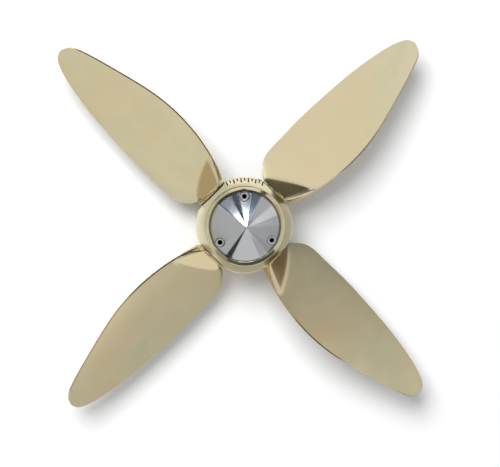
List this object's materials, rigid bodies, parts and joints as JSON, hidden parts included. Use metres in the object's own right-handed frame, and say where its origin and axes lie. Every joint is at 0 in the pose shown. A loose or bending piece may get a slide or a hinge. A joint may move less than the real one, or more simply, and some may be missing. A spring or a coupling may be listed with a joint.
{
  "type": "feathering ship propeller",
  "caption": "Feathering yacht propeller: polished bronze leaf blades turn in a split round hub under a turned cone cap held by socket screws.",
  "frame": {"origin": "middle of the forward hub face, which the propeller lies on", "axes": "+Z along the shaft axis towards the cone cap, which is astern; the blades leave the hub at 45 degrees to X and Y, and blade_1 lies between +X and +Y"},
  "size_m": [0.4104, 0.4104, 0.095],
  "materials": {
    "polished_bronze": "polished, slightly cloudy",
    "machined_bronze": "fine turned",
    "turned_zinc": "fine turned, bright",
    "stainless_steel": "satin",
    "seal_rubber": "matt"
  },
  "bodies": {
    "hub": {"blade_seal_1": "seal_rubber", "blade_seal_2": "seal_rubber", "blade_seal_3": "seal_rubber", "blade_seal_4": "seal_rubber", "hub_aft_half": "polished_bronze", "hub_forward_half": "polished_bronze", "cone_cap": "turned_zinc", "cap_screw_1": "stainless_steel", "cap_screw_2": "stainless_steel", "cap_screw_3": "stainless_steel", "drive_sleeve": "machined_bronze", "shaft_washer": "machined_bronze", "shaft_nut": "stainless_steel", "forward_cover": "machined_bronze", "grease_plug": "stainless_steel", "hub_bolt_1": "stainless_steel", "hub_bolt_2": "stainless_steel", "hub_bolt_3": "stainless_steel", "hub_bolt_4": "stainless_steel", "cover_screw_1": "stainless_steel", "cover_screw_2": "stainless_steel", "cover_screw_3": "stainless_steel", "cover_screw_4": "stainless_steel", "cover_screw_5": "stainless_steel", "cover_screw_6": "stainless_steel"},
    "blade_1": {"blade_1": "polished_bronze"},
    "blade_2": {"blade_2": "polished_bronze"},
    "blade_3": {"blade_3": "polished_bronze"},
    "blade_4": {"blade_4": "polished_bronze"}
  },
  "joints": [
    {"name": "blade_1_pitch", "type": "hinge", "parent": "hub", "child": "blade_1", "pos_m": [0, 0, 0.05], "axis": [-0.7071, -0.7071, 0], "range_deg": [0, 130]},
    {"name": "blade_2_pitch", "type": "hinge", "parent": "hub", "child": "blade_2", "pos_m": [0, 0, 0.05], "axis": [0.7071, -0.7071, 0], "range_deg": [0, 130]},
    {"name": "blade_3_pitch", "type": "hinge", "parent": "hub", "child": "blade_3", "pos_m": [0, 0, 0.05], "axis": [0.7071, 0.7071, 0], "range_deg": [0, 130]},
    {"name": "blade_4_pitch", "type": "hinge", "parent": "hub", "child": "blade_4", "pos_m": [0, 0, 0.05], "axis": [-0.7071, 0.7071, 0], "range_deg": [0, 130]}
  ],
  "couplings": [
    {"joint": "blade_2_pitch", "follows": "blade_1_pitch", "ratio": 1},
    {"joint": "blade_3_pitch", "follows": "blade_1_pitch", "ratio": 1},
    {"joint": "blade_4_pitch", "follows": "blade_1_pitch", "ratio": 1}
  ]
}
